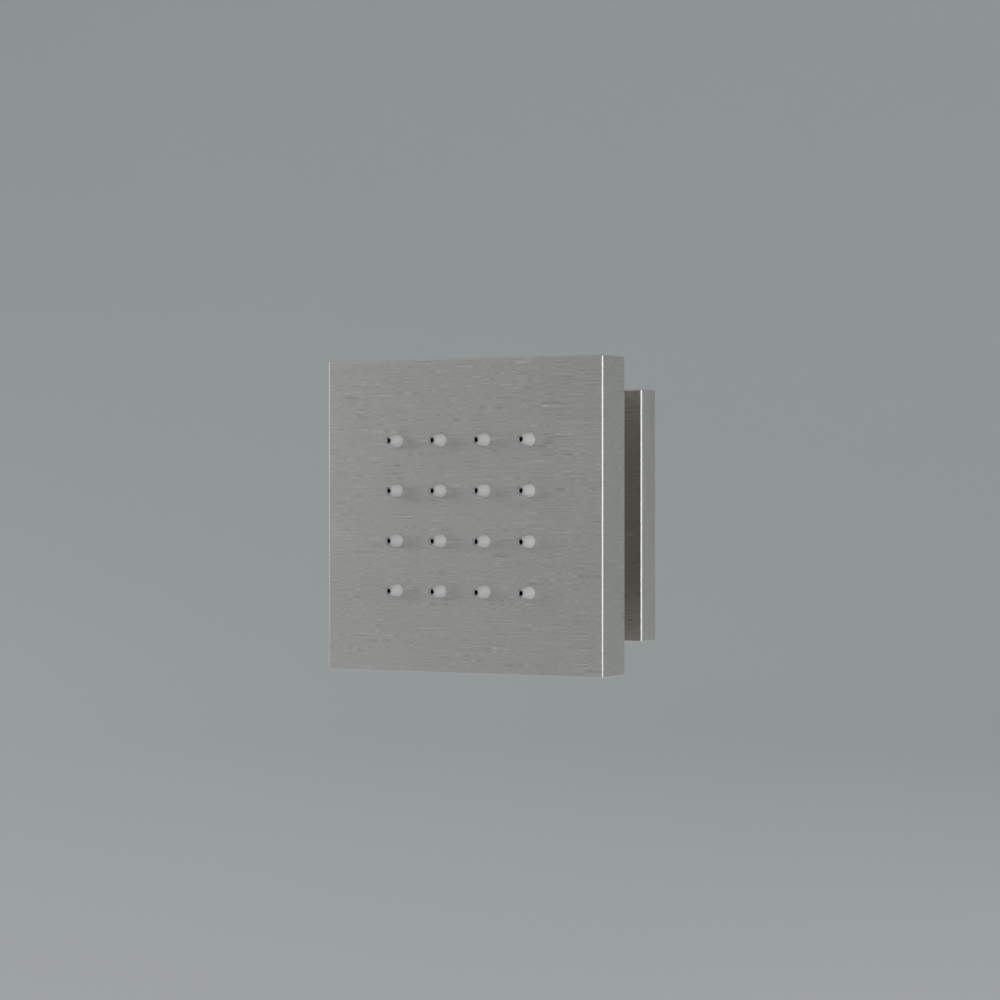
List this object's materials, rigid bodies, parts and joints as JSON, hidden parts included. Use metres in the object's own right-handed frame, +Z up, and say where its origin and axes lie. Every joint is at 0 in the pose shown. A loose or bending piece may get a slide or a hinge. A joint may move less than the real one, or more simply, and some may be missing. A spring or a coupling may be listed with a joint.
{
  "type": "square wall-mounted body-jet shower head",
  "caption": "Square brushed-steel body-jet shower head with a grid of soft nozzles, on a hidden ball swivel in front of a square wall plate.",
  "frame": {"origin": "on the wall plane, on the axis of the inlet thread and at the centre of the wall plate's back", "axes": "+Z up, +X to the right as seen from the front, +Y into the wall; the jets leave towards -Y"},
  "size_m": [0.1, 0.075, 0.1],
  "materials": {
    "brushed_steel": "fine straight brushing, satin",
    "bright_steel": "bright drawn steel",
    "chrome": "polished plating over brass",
    "brass": "turned brass",
    "nozzle_silicone": "pale grey moulded silicone",
    "black_rubber": "moulded sealing rubber",
    "white_plastic": "natural low-friction plastic",
    "grey_plastic": "moulded engineering plastic",
    "blue_plastic": "moulded engineering plastic"
  },
  "bodies": {
    "wall_side": {"wall_plate": "brushed_steel", "wall_gasket": "black_rubber", "plate_o_ring": "black_rubber", "wall_nipple": "brass", "inlet_filter": "white_plastic", "flow_regulator": "blue_plastic", "stem_seal": "black_rubber", "flange_washer": "white_plastic", "ball_stem": "chrome"},
    "pan_ring": {"friction_ring_left": "white_plastic", "friction_ring_right": "white_plastic"},
    "tilt_seal": {"cup_seal": "black_rubber", "seal_carrier": "white_plastic", "wave_spring": "bright_steel"},
    "head": {"swivel_nut": "chrome", "swivel_boss": "brass", "boss_lock_nut": "brass", "boss_o_ring": "black_rubber", "back_cover": "brushed_steel", "cover_screws": "bright_steel", "head_shell": "brushed_steel", "nozzle_mat": "nozzle_silicone", "spray_tray": "grey_plastic", "chamber_seal": "black_rubber", "chamber_lid": "grey_plastic", "chamber_screws": "bright_steel"}
  },
  "joints": [
    {"name": "head_pan", "type": "hinge", "parent": "wall_side", "child": "pan_ring", "pos_m": [0, -0.027, 0], "axis": [0, 0, 1], "range_deg": [-15, 15]},
    {"name": "head_tilt", "type": "hinge", "parent": "pan_ring", "child": "tilt_seal", "pos_m": [0, -0.027, 0], "axis": [1, 0, 0], "range_deg": [-15, 15]},
    {"name": "head_spin", "type": "hinge", "parent": "tilt_seal", "child": "head", "pos_m": [0, -0.027, 0], "axis": [0, 1, 0], "continuous": true}
  ]
}
